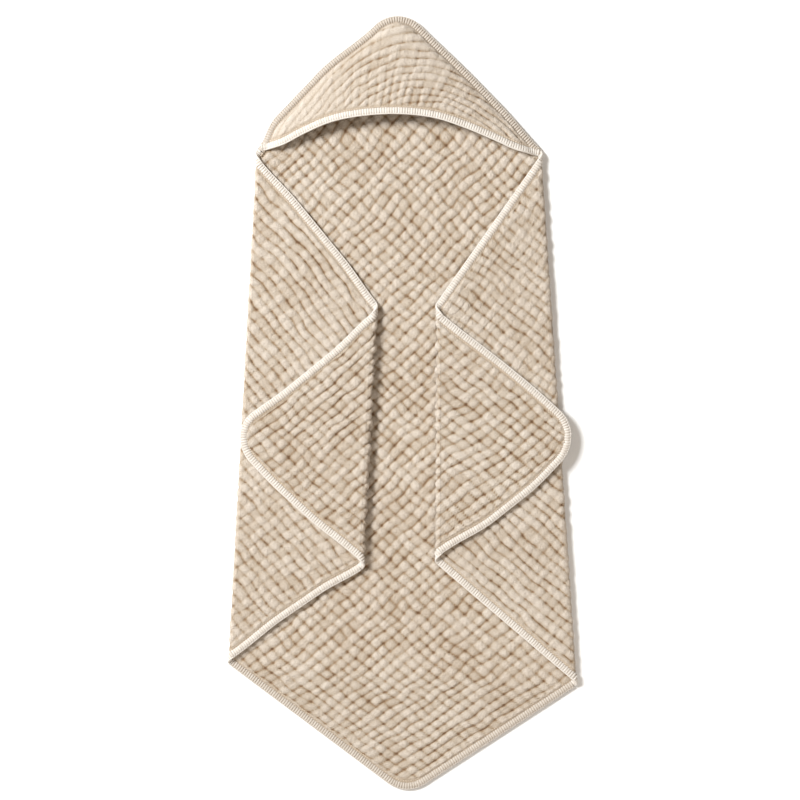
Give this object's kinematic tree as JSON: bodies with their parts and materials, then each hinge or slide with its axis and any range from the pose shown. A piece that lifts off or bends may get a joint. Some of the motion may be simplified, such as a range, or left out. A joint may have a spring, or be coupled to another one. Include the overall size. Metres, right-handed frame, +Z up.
{
  "type": "hooded baby towel",
  "caption": "Square crinkled muslin baby towel with a corner hood and overlocked edging, laid out with both sides folded in and their corners folded back.",
  "frame": {"origin": "middle of the laid-out towel's footprint, on the surface it lies on", "axes": "+Z up, +Y along the towel towards the corner with the hood, +X across it"},
  "size_m": [0.4816, 1.0654, 0.0396],
  "materials": {
    "muslin": "matt crinkled beige cotton muslin",
    "edging_yarn": "soft cream overlock yarn",
    "needle_thread": "fine cream-beige sewing thread"
  },
  "bodies": {
    "centre": {"centre_panel": "muslin", "left_outer_fold": "muslin", "right_outer_fold": "muslin"},
    "hood": {"hood_back_panel": "muslin", "hood_corner_edging": "edging_yarn", "hood_corner_needle_thread": "needle_thread", "hood_front_panel": "muslin", "hood_rim_edging": "edging_yarn", "hood_rim_needle_thread": "needle_thread"},
    "foot": {"foot_panel": "muslin", "foot_edging": "edging_yarn", "foot_needle_thread": "needle_thread"},
    "left_side": {"left_side_panel": "muslin", "left_side_upper_edging": "edging_yarn", "left_side_lower_edging": "edging_yarn", "left_side_upper_needle_thread": "needle_thread", "left_side_lower_needle_thread": "needle_thread", "left_inner_fold": "muslin"},
    "left_corner": {"left_corner_panel": "muslin", "left_corner_edging": "edging_yarn", "left_corner_needle_thread": "needle_thread"},
    "right_side": {"right_side_panel": "muslin", "right_side_upper_edging": "edging_yarn", "right_side_lower_edging": "edging_yarn", "right_side_upper_needle_thread": "needle_thread", "right_side_lower_needle_thread": "needle_thread", "right_inner_fold": "muslin"},
    "right_corner": {"right_corner_panel": "muslin", "right_corner_edging": "edging_yarn", "right_corner_needle_thread": "needle_thread"}
  },
  "joints": [
    {"name": "hood_lift", "type": "hinge", "parent": "centre", "child": "hood", "pos_m": [-0.005, 0.34436, 0.006], "axis": [1, 0, 0], "range_deg": [0, 90]},
    {"name": "foot_tuck", "type": "hinge", "parent": "centre", "child": "foot", "pos_m": [0, -0.37364, 0.006], "axis": [-0.9981, 0.0621, 0], "range_deg": [0, 90]},
    {"name": "left_side_unfold", "type": "hinge", "parent": "centre", "child": "left_side", "pos_m": [-0.215, -0.00734, 0.0065], "axis": [-0.0554, -0.9985, 0], "range_deg": [0, 179], "deforming": ["left_outer_fold"]},
    {"name": "left_corner_unfold", "type": "hinge", "parent": "left_side", "child": "left_corner", "pos_m": [-0.05, -0.04414, 0.0135], "axis": [0.0511, 0.9987, 0], "range_deg": [0, 179], "deforming": ["left_inner_fold"]},
    {"name": "right_side_unfold", "type": "hinge", "parent": "centre", "child": "right_side", "pos_m": [0.21, -0.02193, 0.0065], "axis": [-0.0667, 0.9978, 0], "range_deg": [0, 179], "deforming": ["right_outer_fold"]},
    {"name": "right_corner_unfold", "type": "hinge", "parent": "right_side", "child": "right_corner", "pos_m": [0.052, -0.04064, 0.0135], "axis": [-0.0027, -1, 0], "range_deg": [0, 179], "deforming": ["right_inner_fold"]}
  ],
  "couplings": [
    {"joint": "left_corner_unfold", "follows": "left_side_unfold", "ratio": 1},
    {"joint": "right_corner_unfold", "follows": "right_side_unfold", "ratio": 1}
  ]
}
